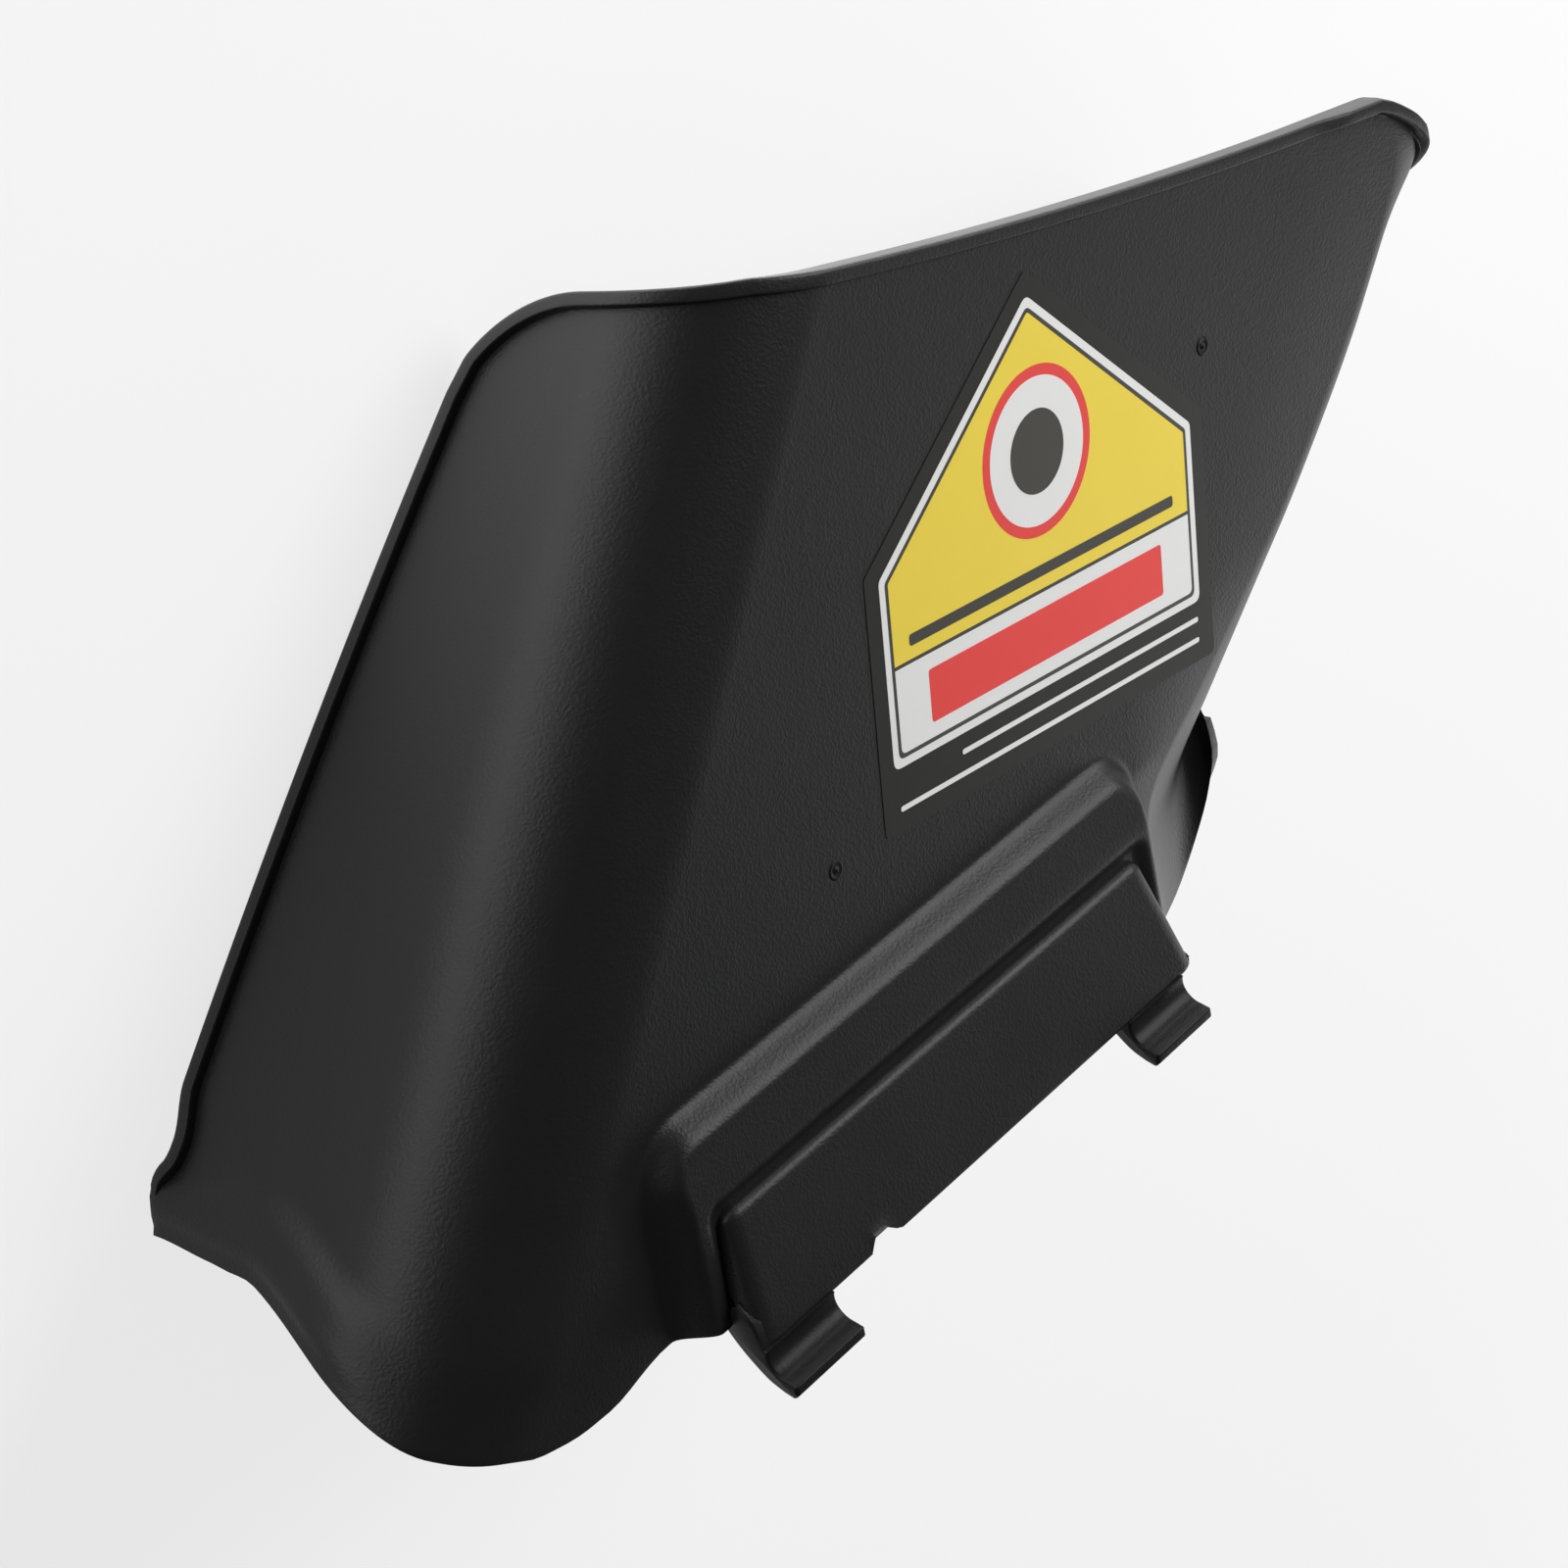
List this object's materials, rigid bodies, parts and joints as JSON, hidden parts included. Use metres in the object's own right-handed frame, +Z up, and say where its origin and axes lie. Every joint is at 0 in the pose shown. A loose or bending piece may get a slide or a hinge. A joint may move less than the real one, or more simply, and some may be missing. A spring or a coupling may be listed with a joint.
{
  "type": "side discharge chute",
  "caption": "Skewed three-sided plastic duct with a hinge block and rod hooks that turns cut grass down and away from a mower deck.",
  "frame": {"origin": "centre of the footprint in the plane of the free rims of both walls", "axes": "+X outboard, from the hinge to the discharge edge; +Y along the hinge axis toward the wall with the large bend; +Z up, with the part resting on both rims and its main face pitched about twelve degrees"},
  "size_m": [0.1992, 0.3586, 0.1097],
  "materials": {
    "black_plastic": "moulded, fine leather grain outside",
    "printed_film": "clear film with plain fields of colour"
  },
  "bodies": {
    "root": {"chute_body": "black_plastic", "label_film": "printed_film"}
  },
  "joints": []
}
